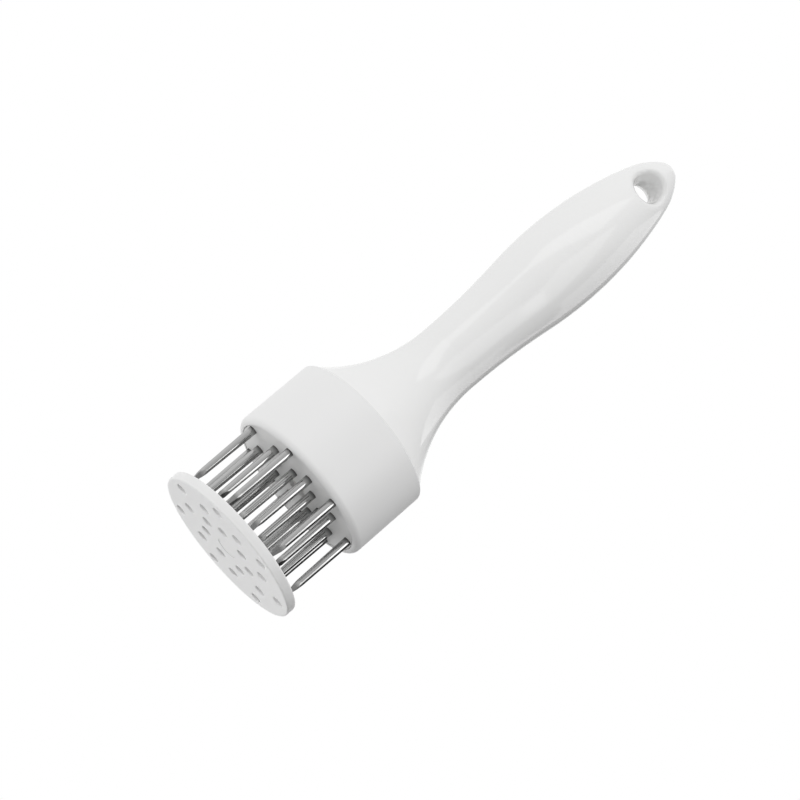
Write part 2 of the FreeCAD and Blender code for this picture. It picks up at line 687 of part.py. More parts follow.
def make_guard_disc():
    """The disc, with a stepped hole at its middle for the rod's head and the plug below it."""
    body = turned("guard_disc", [
        ("sizes.plug_radius + sizes.seat_clearance", "0"),
        ("places.disc_radius", "0"),
        ("places.disc_radius", "sizes.disc_thickness"),
        ("sizes.rod_radius + sizes.seat_clearance", "sizes.disc_thickness"),
        ("sizes.rod_radius + sizes.seat_clearance", "places.rod_head_top"),
        ("sizes.rod_head_radius + sizes.seat_clearance", "places.rod_head_top"),
        ("sizes.rod_head_radius + sizes.seat_clearance", "places.rod_head_bottom"),
        ("sizes.plug_radius + sizes.seat_clearance", "places.rod_head_bottom"),
    ])
    sketch = new_sketch(body, "needle_holes_section", "XY_Plane")
    first_needles(sketch, "places.guard_hole_radius")
    holes = pocket_through(body, sketch, "needle_holes")
    pattern(body, holes, "needle_hole_ring", "sizes.needles_per_ring")
    rim = circles_on(body.Tip.Shape, places.disc_radius)
    soften(body, "rim", "Fillet", rim, "sizes.disc_round")
    mouths = circles_on(body.Tip.Shape, places.guard_hole_radius)
    soften(body, "hole_mouths", "Fillet", mouths, "sizes.guard_hole_round")
    return body


def make_disc_plug():
    return turned("disc_plug", [
        ("0", "sizes.plug_recess"),
        ("sizes.plug_radius - sizes.plug_recess", "sizes.plug_recess"),
        ("sizes.plug_radius", "sizes.plug_recess * 2"),
        ("sizes.plug_radius", "places.rod_head_bottom"),
        ("0", "places.rod_head_bottom"),
    ])


def make_guide_rod():
    return turned("guide_rod", [
        ("0", "places.rod_head_bottom"),
        ("sizes.rod_head_radius", "places.rod_head_bottom"),
        ("sizes.rod_head_radius", "places.rod_head_top"),
        ("sizes.rod_radius", "places.rod_head_top"),
        ("sizes.rod_radius", "places.clip_bottom - sizes.seat_clearance"),
        ("places.groove_radius", "places.clip_bottom - sizes.seat_clearance"),
        ("places.groove_radius", "places.clip_top + sizes.seat_clearance"),
        ("sizes.rod_radius", "places.clip_top + sizes.seat_clearance"),
        ("sizes.rod_radius", "places.rod_top - sizes.rod_lead"),
        ("sizes.rod_radius - sizes.rod_lead", "places.rod_top"),
        ("0", "places.rod_top"),
    ])


def flat_ring(label, bottom, inner, outer, thickness):
    """A flat washer lying at one height."""
    body = new_body(label)
    sketch = new_sketch(body, label + "_section", "XY_Plane", bottom)
    circle(sketch, "0", "0", outer)
    circle(sketch, "0", "0", inner)
    pad(body, sketch, label + "_blank", thickness)
    document.recompute()
    return body


def slot_out(body, name, bottom, end, width):
    """A straight slot cut along +X from the axis to one distance out, through the body."""
    sketch = new_sketch(body, name + "_section", "XY_Plane", bottom)
    outline(sketch, [
        ("0", f"-{width} / 2"),
        (end, f"-{width} / 2"),
        (end, f"{width} / 2"),
        ("0", f"{width} / 2"),
    ])
    return pocket_through(body, sketch, name)


def make_push_nut():
    """A pressed ring whose slotted fingers bite on the rod."""
    bottom = "sizes.disc_thickness"
    bore = "sizes.rod_radius + sizes.seat_clearance / 2"
    body = flat_ring("push_nut", bottom, bore, "sizes.push_nut_radius", "sizes.push_nut_thickness")
    reach = "sizes.rod_radius + sizes.push_nut_slot_length"
    slot = slot_out(body, "push_nut_slot_cut", bottom, reach, "sizes.push_nut_slot")
    pattern(body, slot, "push_nut_slots", "sizes.push_nut_fingers")
    return body


def make_stop_clip():
    """An open clip that sits in the rod's groove."""
    bottom = "places.clip_bottom"
    bore = "places.groove_radius + sizes.seat_clearance"
    body = flat_ring("stop_clip", bottom, bore, "sizes.clip_radius", "sizes.clip_thickness")
    slot_out(body, "clip_opening", bottom, "sizes.clip_radius * 2", "sizes.clip_mouth")
    document.recompute()
    return body


def make_guide_bush():
    bore = "sizes.rod_radius + sizes.running_clearance"
    return turned("guide_bush", [
        (bore, "places.bush_bottom"),
        ("sizes.bush_radius", "places.bush_bottom"),
        ("sizes.bush_radius", "places.backing_top"),
        ("sizes.bush_flange_radius", "places.backing_top"),
        ("sizes.bush_flange_radius", "places.bush_top"),
        (bore, "places.bush_top"),
    ])


def make_spring_seat():
    bore = "sizes.rod_radius + sizes.seat_clearance"
    hub_top = "places.seat_top + sizes.seat_hub_height"
    return turned("spring_seat", [
        (bore, "places.clip_top"),
        ("places.seat_radius", "places.clip_top"),
        ("places.seat_radius", "places.seat_top"),
        ("places.hub_radius", "places.seat_top"),
        ("places.hub_radius", hub_top),
        (bore, hub_top),
    ])


def spring_line():
    """Points and headings along the wire's middle line, two to a turn, with a closed turn at each end."""
    low = places.seat_top + sizes.spring_seat_gap + sizes.wire_radius
    high = places.spring_top - sizes.spring_seat_gap - sizes.wire_radius
    open_rise = high - low - 2 * sizes.end_turn_pitch
    turns = int(sizes.spring_turns) + 2
    open_pitch = open_rise / sizes.spring_turns
    line = []
    for number in range(2 * turns + 1):
        turn = number / 2
        closed = min(turn, 1) + max(turn - (turns - 1), 0)
        opened = min(max(turn - 1, 0), turns - 2)
        height = low + closed * sizes.end_turn_pitch + opened * open_pitch
        angle = 2 * math.pi * turn
        out = Vector(math.cos(angle), math.sin(angle), 0)
        place = out * places.coil_radius + Vector(0, 0, height)
        closing = turn < 1 or turn > turns - 1
        rise = sizes.end_turn_pitch if closing else open_pitch
        if turn in (1, turns - 1):
            rise = (sizes.end_turn_pitch + open_pitch) / 2
        along = Vector(-math.sin(angle), math.cos(angle), 0) * (2 * math.pi * places.coil_radius)
        line.append((place, (along + Vector(0, 0, rise)).normalize()))
    return line


def arc_from_heading(start, heading, end):
    """The arc that leaves one point along a heading and ends at another."""
    chord = end - start
    direction = Vector(chord).normalize()
    side = (heading - direction * heading.dot(direction)).normalize()
    lift = math.tan(heading.getAngle(direction) / 2) * chord.Length / 2
    return Part.Arc(start, start + chord * 0.5 + side * lift, end)


def two_arcs(start, start_heading, end, end_heading):
    """Two arcs joined smoothly that lead from one point and heading to the next."""
    gap = end - start
    both = start_heading + end_heading
    spread = 2 * (1 - start_heading.dot(end_heading))
    across = gap.dot(both)
    reach = (math.sqrt(across**2 + spread * gap.dot(gap)) - across) / spread
    middle = (start + start_heading * reach + end - end_heading * reach) * 0.5
    first = arc_from_heading(start, start_heading, middle)
    second = arc_from_heading(end, end_heading * -1, middle)
    return [first.toShape(), Part.Arc(middle, second.value(second.parameter(middle) / 2), end).toShape()]


def make_return_spring():
    line = spring_line()
    edges = []
    for (start, start_heading), (end, end_heading) in zip(line, line[1:]):
        edges.extend(two_arcs(start, start_heading, end, end_heading))
    path = Part.Wire(edges)
    start, heading = line[0]
    ring = Part.Wire([Part.Circle(start, heading, sizes.wire_radius).toShape()])
    spring = document.addObject("Part::Feature", "return_spring")
    spring.Label = "return_spring"
    spring.Shape = path.makePipeShell([ring], True, False)
    spring.Placement = Placement(Vector(0, 0, 0), Rotation(Vector(0, 0, 1), 0))
    wire_volume = math.pi * sizes.wire_radius**2 * path.Length
    print("spring volume over wire volume", round(spring.Shape.Volume / wire_volume, 4))
    print("least gap between turns", round(least_gap(path), 3))
    document.recompute()
    return spring


def least_gap(path):
    """The least gap between the wire's turns, measured on points half a turn or more apart."""
    spacing = places.coil_radius / 12
    points = path.discretize(Distance=spacing)
    skip = int(math.pi * places.coil_radius / spacing)
    window = 3 * skip
    least = min(
        (points[first] - points[second]).Length
        for first in range(0, len(points) - skip)
        for second in range(first + skip, min(first + window, len(points)))
    )
    return least - 2 * sizes.wire_radius


def check_document():
    """Stops if any object of the document failed."""
    for item in document.Objects:
        if "Invalid" in item.State or "Error" in item.State:
            raise RuntimeError(f"{item.Label} failed: {item.State}")


def write_parts(pieces):
    os.makedirs("parts", exist_ok=True)
    for piece in pieces:
        shape = piece.Shape
        if shape.isNull() or not shape.isValid() or not shape.Solids:
            raise RuntimeError(f"{piece.Label} has no sound solid")
        shape.exportStep(f"parts/{piece.Label}.step")
        print(piece.Label, len(shape.Solids), round(shape.Volume, 2))


pieces = [
    make_handle(),
    make_sleeve(),
    make_needle_plate(),
    make_backing_plate(),
    *make_needles(),
    make_plate_screws(),
    make_guard_disc(),
    make_disc_plug(),
    make_guide_rod(),
    make_push_nut(),
    make_stop_clip(),
    make_guide_bush(),
    make_spring_seat(),
    make_return_spring(),
]
document.recompute()
check_document()
write_parts(pieces)
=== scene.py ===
import math

import bmesh
import bpy
from bpy.props import FloatProperty, FloatVectorProperty, PointerProperty
from bpy.types import Operator, Panel, PropertyGroup
from mathutils import Matrix, Quaternion, Vector


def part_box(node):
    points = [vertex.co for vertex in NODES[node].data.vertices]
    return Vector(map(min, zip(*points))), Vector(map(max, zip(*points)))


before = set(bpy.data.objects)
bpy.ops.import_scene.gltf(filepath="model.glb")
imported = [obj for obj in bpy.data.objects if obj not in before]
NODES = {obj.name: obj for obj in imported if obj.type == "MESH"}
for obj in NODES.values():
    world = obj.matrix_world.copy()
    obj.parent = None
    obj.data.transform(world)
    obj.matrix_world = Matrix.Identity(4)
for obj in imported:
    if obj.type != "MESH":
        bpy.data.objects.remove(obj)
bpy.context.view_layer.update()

bl_info = {
    "name": "Needle Press Tenderizer",
    "version": (1, 0, 0),
    "blender": (4, 5, 0),
    "location": "View3D > Sidebar > Tenderizer",
    "description": "Finishes, studio and camera for a needle press meat tenderizer",
    "category": "Object",
}

NEEDLES = sorted(name for name in NODES if name.startswith("needle_") and name != "needle_plate")
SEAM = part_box("head_sleeve")[1].z
PLATE_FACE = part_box("needle_plate")[0].z

# The hanging hole: height of its axis, and where the skin has finished dipping into it
HOLE_HEIGHT = 0.1838
HOLE_EDGE = 0.0045

# How the painted shades at the seam, the needle points and the needle roots change along the tool's
# axis, in shares per metre or in metres
SEAM_FALL = 5000.0
SEAM_FULL = 1.6
POINT_EDGE = 4000.0
POINT_FALL = 700.0
POINT_LAG = 0.55
ROOT_REACH = 0.0016


# Sizes and colours a user would change

def colour(name, description, default):
    return FloatVectorProperty(
        name=name,
        description=description,
        default=default,
        min=0.0,
        max=1.0,
        size=3,
        subtype="COLOR",
    )


def share(name, description, default):
    return FloatProperty(
        name=name, description=description, default=default, min=0.0, max=1.0, subtype="FACTOR"
    )


def brightness(name, description, default):
    return FloatProperty(name=name, description=description, default=default, min=0.0)


def distance(name, description, default):
    return FloatProperty(
        name=name, description=description, default=default, unit="LENGTH", precision=5
    )


def angle(name, description, default):
    return FloatProperty(
        name=name,
        description=description,
        default=math.radians(default),
        unit="ROTATION",
        subtype="ANGLE",
    )


class PlasticSettings(PropertyGroup):
    """Colours and gloss of the moulded pieces."""

    handle: colour("Handle", "Colour of the handle", (0.85, 0.85, 0.846))
    sleeve: colour("Sleeve", "Colour of the head's sleeve", (0.855, 0.855, 0.853))
    disc: colour("Disc", "Colour of the guard disc and its plug", (0.85, 0.85, 0.848))
    plate: colour("Plates", "Colour of the needle plate and backing plate", (0.84, 0.84, 0.835))
    bush: colour("Bush", "Colour of the guide bush and spring seat", (0.66, 0.65, 0.61))
    handle_gloss: share("Handle roughness", "Roughness of the polished handle", 0.08)
    sleeve_gloss: share("Sleeve roughness", "Roughness of the satin sleeve", 0.42)
    disc_gloss: share("Disc roughness", "Roughness of the guard disc", 0.34)
    plate_gloss: share("Plate roughness", "Roughness of the plates", 0.5)
    ripple: distance("Ripple", "Depth of the waves that moulding leaves in a skin", 0.000004)
    grain: distance("Grain", "Depth of the fine grain of the satin mouldings", 0.000003)
    mouth_reach: distance("Mouth reach", "Radius where the skin begins to dip into the hole", 0.0084)
    mouth_depth: distance("Mouth depth", "How far the skin dips into the hole's mouths", 0.0008)
    # Painted shade along the joint between handle and sleeve, standing in for the shadow in the
    # groove there
    painted_seam_shade: share("Painted seam shade", "How dark the joint between handle and sleeve is", 0.14)


class SteelSettings(PropertyGroup):
    """Colours and gloss of the steel pieces."""

    needle: colour("Needles", "Colour of the ground needles", (0.5, 0.5, 0.497))
    rod: colour("Rod", "Colour of the guide rod", (0.56, 0.56, 0.555))
    wire: colour("Wire", "Colour of the return spring's wire", (0.45, 0.45, 0.455))
    plated: colour("Fixings", "Colour of the screws, push nut and stop clip", (0.55, 0.55, 0.56))
    needle_gloss: share("Needle roughness", "Roughness of a needle's shank", 0.10)
    point_gloss: share("Point roughness", "Roughness of a needle's ground point", 0.24)
    line_depth: distance("Line depth", "Depth of the drawing lines along a needle", 0.0000001)
    point_height: distance("Point height", "Where the needles' ground points begin", 0.0094)
    # Painted shade: darkens the ground points, in place of the dark reflections they show
    point_shade: share("Painted point shade", "How much darker the ground points are", 0.45)
    # Painted shade: darkens the needles just below the plate, in place of the shade and dark
    # reflections at their roots
    root_shade: share("Painted root shade", "How dark the needles are where they enter the plate", 0.82)


class StudioSettings(PropertyGroup):
    """The camera, the floor and the lamps."""

    lens: FloatProperty(
        name="Lens", description="Focal length on a 36 mm frame", default=97.69, unit="CAMERA"
    )
    camera_reach: distance("Camera distance", "Camera to the object's foot, along the view", 0.6606)
    camera_slide: distance("Camera height", "Camera's place along the tilted tool", 0.069386)
    camera_rise: angle("Camera rise", "How far the camera looks up", 18.618)
    camera_turn: angle("Camera turn", "How far round the tool the camera stands", -0.79)
    camera_roll: angle("Camera roll", "Turn of the tool's axis in the picture", 40.527)
    left_level: brightness("Left light", "Left panel, where 1 is white", 1.1)
    right_level: brightness("Right light", "Right panel, where 1 is white", 0.96)
    needle_level: brightness("Needle light", "Low panel, where 1 is white", 1.3)
    edge_level: brightness("Edge light", "Side panel, where 1 is white", 1.0)
    floor_tone: share("Floor tone", "Colour of the floor, where 1 is white", 1.0)


# Node trees

def add(tree, kind, place, **values):
    """A node at a place in the tree, with its settings and the values of its named inputs."""
    node = tree.nodes.new(kind)
    node.location = place
    for name, value in values.items():
        if hasattr(node, name):
            setattr(node, name, value)
        else:
            node.inputs[name.replace("_", " ")].default_value = value
    return node


def link(tree, *pairs):
    """Links each pair of an output and an input."""
    for start, end in pairs:
        tree.links.new(start, end)


def maths(tree, place, operation, first, second=None, third=None):
    """A Math node whose inputs are links where sockets are given and numbers otherwise."""
    node = add(tree, "ShaderNodeMath", place, operation=operation)
    for slot, value in enumerate((first, second, third)):
        if isinstance(value, bpy.types.NodeSocket):
            tree.links.new(value, node.inputs[slot])
        elif value is not None:
            node.inputs[slot].default_value = value
    return node.outputs[0]


def stretched_noise(tree, place, coordinates, across, along, detail):
    """Noise with its own scale across the tool's axis and along it, per metre."""
    mapping = add(tree, "ShaderNodeMapping", place)
    mapping.inputs["Scale"].default_value = (across, across, along)
    noise = add(tree, "ShaderNodeTexNoise", (place[0] + 180, place[1]), Scale=1.0, Detail=detail)
    link(
        tree,
        (coordinates, mapping.inputs["Vector"]),
        (mapping.outputs[0], noise.inputs["Vector"]),
    )
    return noise.outputs["Fac"]


def new_group(name, inputs, outputs):
    """A shader node group with named sockets, and its two end nodes."""
    tree = bpy.data.node_groups.new(name, "ShaderNodeTree")
    for label, kind, default in inputs:
        socket = tree.interface.new_socket(name=label, in_out="INPUT", socket_type=kind)
        socket.default_value = default
    for label, kind in outputs:
        tree.interface.new_socket(name=label, in_out="OUTPUT", socket_type=kind)
    start = add(tree, "NodeGroupInput", (-900, 0))
    end = add(tree, "NodeGroupOutput", (900, 0))
    return tree, start.outputs, end.inputs


def moulded_skin():
    """Clouded tone, uneven gloss, long moulding ripples and fine grain of a plastic piece, with a
    painted shade along its seam.
    """
    tree, given, made = new_group(
        "moulded_skin",
        [
            ("Colour", "NodeSocketColor", (0.8, 0.8, 0.8, 1.0)),
            ("Cloud", "NodeSocketFloat", 0.02),
            ("Roughness", "NodeSocketFloat", 0.3),
            ("Unevenness", "NodeSocketFloat", 0.05),
            ("Ripple", "NodeSocketFloat", 0.5),
            ("Grain", "NodeSocketFloat", 0.5),
            ("Seam Height", "NodeSocketFloat", -1.0),
            ("Seam Shade", "NodeSocketFloat", 0.0),
        ],
        [
            ("Colour", "NodeSocketColor"),
            ("Roughness", "NodeSocketFloat"),
            ("Height", "NodeSocketFloat"),
        ],
    )
    place = add(tree, "ShaderNodeTexCoord", (-900, -300)).outputs["Object"]
    cloud = stretched_noise(tree, (-700, 300), place, 70.0, 45.0, 3.0)
    gloss = stretched_noise(tree, (-700, 0), place, 260.0, 180.0, 4.0)
    ripple = stretched_noise(tree, (-700, -300), place, 110.0, 60.0, 1.0)
    grain = stretched_noise(tree, (-700, -600), place, 5200.0, 5200.0, 2.0)
    shade = maths(tree, (-250, 300), "MULTIPLY_ADD", cloud, given["Cloud"], 1.0)
    shade = maths(tree, (-80, 300), "SUBTRACT", shade, given["Cloud"])
    height = add(tree, "ShaderNodeSeparateXYZ", (-700, 600))
    link(tree, (place, height.inputs[0]))
    # Painted shade: a dark band along the seam, in place of the shadow in the groove between handle
    # and sleeve
    seam = maths(tree, (-500, 600), "SUBTRACT", height.outputs["Z"], given["Seam Height"])
    seam = maths(tree, (-330, 600), "ABSOLUTE", seam)
    seam = maths(tree, (-160, 600), "MULTIPLY_ADD", seam, -SEAM_FALL, SEAM_FULL)
    seam.node.use_clamp = True
    seam = maths(tree, (10, 600), "MULTIPLY", seam, given["Seam Shade"])
    seam = maths(tree, (180, 600), "SUBTRACT", 1.0, seam)
    shade = maths(tree, (100, 450), "MULTIPLY", shade, seam)
    tinted = add(tree, "ShaderNodeVectorMath", (260, 300), operation="SCALE")
    link(tree, (given["Colour"], tinted.inputs[0]), (shade, tinted.inputs["Scale"]))
    swing = maths(tree, (-250, 0), "SUBTRACT", gloss, 0.5)
    rough = maths(tree, (-80, 0), "MULTIPLY_ADD", swing, given["Unevenness"], given["Roughness"])
    high = maths(tree, (-250, -300), "MULTIPLY", ripple, given["Ripple"])
    high = maths(tree, (-80, -450), "MULTIPLY_ADD", grain, given["Grain"], high)
    link(
        tree,
        (tinted.outputs[0], made["Colour"]),
        (rough, made["Roughness"]),
        (high, made["Height"]),
    )
    return tree


def drawn_steel():
    """Lines along a drawn or ground rod, and cross marks on a point that was ground to shape, with
    painted shade on the point and at the root.
    """
    tree, given, made = new_group(
        "drawn_steel",
        [
            ("Colour", "NodeSocketColor", (0.6, 0.6, 0.6, 1.0)),
            ("Streaks", "NodeSocketFloat", 0.1),
            ("Roughness", "NodeSocketFloat", 0.2),
            ("Unevenness", "NodeSocketFloat", 0.08),
            ("Point Top", "NodeSocketFloat", -1.0),
            ("Point Roughness", "NodeSocketFloat", 0.3),
            ("Point Shade", "NodeSocketFloat", 0.0),
            ("Root Height", "NodeSocketFloat", 1.0),
            ("Root Shade", "NodeSocketFloat", 0.0),
        ],
        [
            ("Colour", "NodeSocketColor"),
            ("Roughness", "NodeSocketFloat"),
            ("Height", "NodeSocketFloat"),
        ],
    )
    place = add(tree, "ShaderNodeTexCoord", (-900, -300)).outputs["Object"]
    height = add(tree, "ShaderNodeSeparateXYZ", (-700, -700))
    link(tree, (place, height.inputs[0]))
    lines = stretched_noise(tree, (-700, 300), place, 1500.0, 14.0, 2.0)
    stains = stretched_noise(tree, (-700, 0), place, 420.0, 160.0, 4.0)
    cross = stretched_noise(tree, (-700, -300), place, 200.0, 2400.0, 1.0)
    below = maths(tree, (-500, -700), "SUBTRACT", given["Point Top"], height.outputs["Z"])
    point = maths(tree, (-330, -700), "MULTIPLY", below, POINT_EDGE)
    point.node.use_clamp = True
    mark = add(tree, "ShaderNodeMix", (-250, 100))
    link(tree, (point, mark.inputs[0]), (lines, mark.inputs[2]), (cross, mark.inputs[3]))
    shade = maths(tree, (-80, 300), "SUBTRACT", stains, 0.5)
    shade = maths(tree, (80, 300), "MULTIPLY_ADD", shade, given["Streaks"], 1.0)
    # Painted shade at the roots: the colour darkens just below the plate, standing in for the shade
    # and dark reflections there
    root = maths(tree, (-500, -900), "SUBTRACT", given["Root Height"], height.outputs["Z"])
    root = maths(tree, (-330, -900), "DIVIDE", root, -ROOT_REACH)
    root = maths(tree, (-160, -900), "ADD", root, 1.0)
    root.node.use_clamp = True
    root = maths(tree, (10, -900), "MULTIPLY", root, given["Root Shade"])
    # Painted shade on the points: the colour darkens towards the tips, standing in for their dark
    # reflections
    dark = maths(tree, (-330, -1100), "MULTIPLY", below, POINT_FALL)
    dark = maths(tree, (-160, -1100), "SUBTRACT", dark, POINT_LAG)
    dark.node.use_clamp = True
    dark = maths(tree, (10, -1100), "MULTIPLY", dark, given["Point Shade"])
    dark = maths(tree, (180, -1000), "MAXIMUM", dark, root)
    unshaded_share = maths(tree, (350, -1000), "SUBTRACT", 1.0, dark)
    shade = maths(tree, (170, 500), "MULTIPLY", shade, unshaded_share)
    tinted = add(tree, "ShaderNodeVectorMath", (340, 300), operation="SCALE")
    link(tree, (given["Colour"], tinted.inputs[0]), (shade, tinted.inputs["Scale"]))
    base = add(tree, "ShaderNodeMix", (80, 0))
    link(
        tree,
        (point, base.inputs[0]),
        (given["Roughness"], base.inputs[2]),
        (given["Point Roughness"], base.inputs[3]),
    )
    swing = maths(tree, (80, -200), "SUBTRACT", mark.outputs[0], 0.5)
    rough = maths(tree, (260, -100), "MULTIPLY_ADD", swing, given["Unevenness"], base.outputs[0])
    link(
        tree,
        (tinted.outputs[0], made["Colour"]),
        (rough, made["Roughness"]),
        (mark.outputs[0], made["Height"]),
    )
    return tree


def group(name):
    """The shared node group of that name, built the first time it is asked for."""
    makers = {"moulded_skin": moulded_skin, "drawn_steel": drawn_steel}
    return bpy.data.node_groups.get(name) or makers[name]()


def new_material(name):
    """An empty node material with its shader and output."""
    material = bpy.data.materials.new(name)
    material.use_nodes = True
    tree = material.node_tree
    tree.nodes.clear()
    shader = add(tree, "ShaderNodeBsdfPrincipled", (300, 0))
    output = add(tree, "ShaderNodeOutputMaterial", (600, 0))
    link(tree, (shader.outputs[0], output.inputs["Surface"]))
    return material, tree, shader


def dress(tree, shader, kind, depth, values):
    """Places a shared group in a material, with its own values, and feeds the shader from it."""
    skin = add(tree, "ShaderNodeGroup", (-250, 0), node_tree=group(kind))
    for name, value in values.items():
        skin.inputs[name].default_value = value
    bump = add(tree, "ShaderNodeBump", (50, -300), Distance=depth)
    link(
        tree,
        (skin.outputs["Colour"], shader.inputs["Base Color"]),
        (skin.outputs["Roughness"], shader.inputs["Roughness"]),
        (skin.outputs["Height"], bump.inputs["Height"]),
        (bump.outputs[0], shader.inputs["Normal"]),
    )
    return skin


def plastic(name, tone, roughness, cloud, unevenness, ripple, grain, depth, glow=0.0, seam=0.0):
    """A moulded plastic. Glow is the light that spreads inside it, seam the painted shade along its
    joint.
    """
    material, tree, shader = new_material(name)
    shader.inputs["IOR"].default_value = 1.5
    shader.inputs["Subsurface Weight"].default_value = glow
    shader.inputs["Subsurface Radius"].default_value = (1.0, 1.0, 1.0)
    shader.inputs["Subsurface Scale"].default_value = 0.001
    values = {
        "Colour": (*tone, 1.0),
        "Cloud": cloud,
        "Roughness": roughness,
        "Unevenness": unevenness,
        "Ripple": ripple,
        "Grain": grain,
        "Seam Height": SEAM,
        "Seam Shade": seam,
    }
    dress(tree, shader, "moulded_skin", depth, values)
    return material


def steel(name, tone, roughness, streaks, depth, **ends):
    """A drawn or ground steel. A needle also gives the heights and painted shades of its ends."""
    material, tree, shader = new_material(name)
    shader.inputs["Metallic"].default_value = 1.0
    values = {
        "Colour": (*tone, 1.0),
        "Streaks": streaks,
        "Roughness": roughness,
        "Unevenness": 0.04,
    }
    for label, value in ends.items():
        values[label.replace("_", " ").title()] = value
    dress(tree, shader, "drawn_steel", depth, values)
    return material


def dish_mouths(tree, reach, depth):
    """Eases the handle's skin into the two mouths of the hanging hole, with a shallow bump."""
    bump = next(node for node in tree.nodes if node.type == "BUMP")
    shader = next(node for node in tree.nodes if node.type == "BSDF_PRINCIPLED")
    place = add(tree, "ShaderNodeTexCoord", (-900, -700)).outputs["Object"]
    offset = add(tree, "ShaderNodeVectorMath", (-700, -700), operation="MULTIPLY_ADD")
    offset.inputs[1].default_value = (1.0, 0.0, 1.0)
    offset.inputs[2].default_value = (0.0, 0.0, -HOLE_HEIGHT)
    gap = add(tree, "ShaderNodeVectorMath", (-500, -700), operation="LENGTH")
    slope = add(tree, "ShaderNodeMapRange", (-300, -700), interpolation_type="SMOOTHSTEP")
    slope.inputs["From Min"].default_value = HOLE_EDGE
    slope.inputs["From Max"].default_value = reach
    slope.inputs["To Max"].default_value = depth
    dish = add(tree, "ShaderNodeBump", (50, -600), Distance=1.0)
    link(
        tree,
        (place, offset.inputs[0]),
        (offset.outputs[0], gap.inputs[0]),
        (gap.outputs["Value"], slope.inputs["Value"]),
        (slope.outputs[0], dish.inputs["Height"]),
        (bump.outputs[0], dish.inputs["Normal"]),
        (dish.outputs[0], shader.inputs["Normal"]),
    )


def finish(material, *names):
    """Gives CAD nodes their material."""
    for name in names:
        slots = NODES[name].data.materials
        slots.clear()
        slots.append(material)


# Operators, one for each piece or group of like pieces

class TENDERIZER_OT_handle(Operator):
    """Finish the polished white handle"""

    bl_idname = "tenderizer.handle"
    bl_label = "Finish Handle"

    def execute(self, context):
        look = context.scene.tenderizer_plastic
        material = plastic(
            "handle_white_gloss",
            look.handle,
            look.handle_gloss,
            cloud=0.012,
            unevenness=0.05,
            ripple=1.0,
            grain=0.06,
            depth=look.ripple,
            seam=look.painted_seam_shade,
        )
        dish_mouths(material.node_tree, look.mouth_reach, look.mouth_depth)
        finish(material, "handle")
        return {"FINISHED"}


class TENDERIZER_OT_sleeve(Operator):
    """Finish the satin sleeve round the needle block"""

    bl_idname = "tenderizer.sleeve"
    bl_label = "Finish Sleeve"

    def execute(self, context):
        look = context.scene.tenderizer_plastic
        material = plastic(
            "sleeve_white_satin",
            look.sleeve,
            look.sleeve_gloss,
            cloud=0.02,
            unevenness=0.08,
            ripple=0.5,
            grain=1.0,
            depth=look.grain,
            seam=look.painted_seam_shade,
        )
        finish(material, "head_sleeve")
        return {"FINISHED"}


class TENDERIZER_OT_disc(Operator):
    """Finish the guard disc and the plug at its middle"""

    bl_idname = "tenderizer.disc"
    bl_label = "Finish Guard Disc"

    def execute(self, context):
        look = context.scene.tenderizer_plastic
        material = plastic(
            "disc_white_satin",
            look.disc,
            look.disc_gloss,
            cloud=0.02,
            unevenness=0.08,
            ripple=0.7,
            grain=0.8,
            depth=look.grain,
            glow=0.5,
        )
        finish(material, "guard_disc", "disc_plug")
        return {"FINISHED"}


class TENDERIZER_OT_plates(Operator):
    """Finish the needle plate and the backing plate behind it"""

    bl_idname = "tenderizer.plates"
    bl_label = "Finish Plates"

    def execute(self, context):
        look = context.scene.tenderizer_plastic
        material = plastic(
            "plate_white_matt",
            look.plate,
            look.plate_gloss,
            cloud=0.03,
            unevenness=0.10,
            ripple=0.6,
            grain=1.0,
            depth=look.grain,
        )
        finish(material, "needle_plate", "backing_plate")
        return {"FINISHED"}


class TENDERIZER_OT_needles(Operator):
    """Finish the needles: lines along the shanks, cross marks on the ground points and painted shade
    on the points and at the roots
    """

    bl_idname = "tenderizer.needles"
    bl_label = "Finish Needles"

    def execute(self, context):
        look = context.scene.tenderizer_steel
        material = steel(
            "needle_ground_steel",
            look.needle,
            look.needle_gloss,
            streaks=0.16,
            depth=look.line_depth,
            point_top=look.point_height,
            point_roughness=look.point_gloss,
            point_shade=look.point_shade,
            root_height=PLATE_FACE,
            root_shade=look.root_shade,
        )
        finish(material, *NEEDLES)
        return {"FINISHED"}


class TENDERIZER_OT_guide(Operator):
    """Finish the guide rod, its bush, the spring seat and the small fixings"""

    bl_idname = "tenderizer.guide"
    bl_label = "Finish Guide and Fixings"

    def execute(self, context):
        metal = context.scene.tenderizer_steel
        look = context.scene.tenderizer_plastic
        rod = steel("rod_ground_steel", metal.rod, 0.24, streaks=0.12, depth=metal.line_depth)
        depth = metal.line_depth
        plated = steel("fixing_plated_steel", metal.plated, 0.32, streaks=0.2, depth=depth)
        bush = plastic(
            "bush_natural_plastic",
            look.bush,
            0.45,
            cloud=0.05,
            unevenness=0.10,
            ripple=0.4,
            grain=1.0,
            depth=look.grain,
        )
        finish(rod, "guide_rod")
        finish(plated, "push_nut", "stop_clip", "plate_screws")
        finish(bush, "guide_bush", "spring_seat")
        return {"FINISHED"}


class TENDERIZER_OT_spring(Operator):
    """Finish the return spring's drawn wire"""

    bl_idname = "tenderizer.spring"
    bl_label = "Finish Spring"

    def execute(self, context):
        metal = context.scene.tenderizer_steel
        wire = steel("spring_drawn_wire", metal.wire, 0.36, streaks=0.3, depth=metal.line_depth)
        finish(wire, "return_spring")
        return {"FINISHED"}


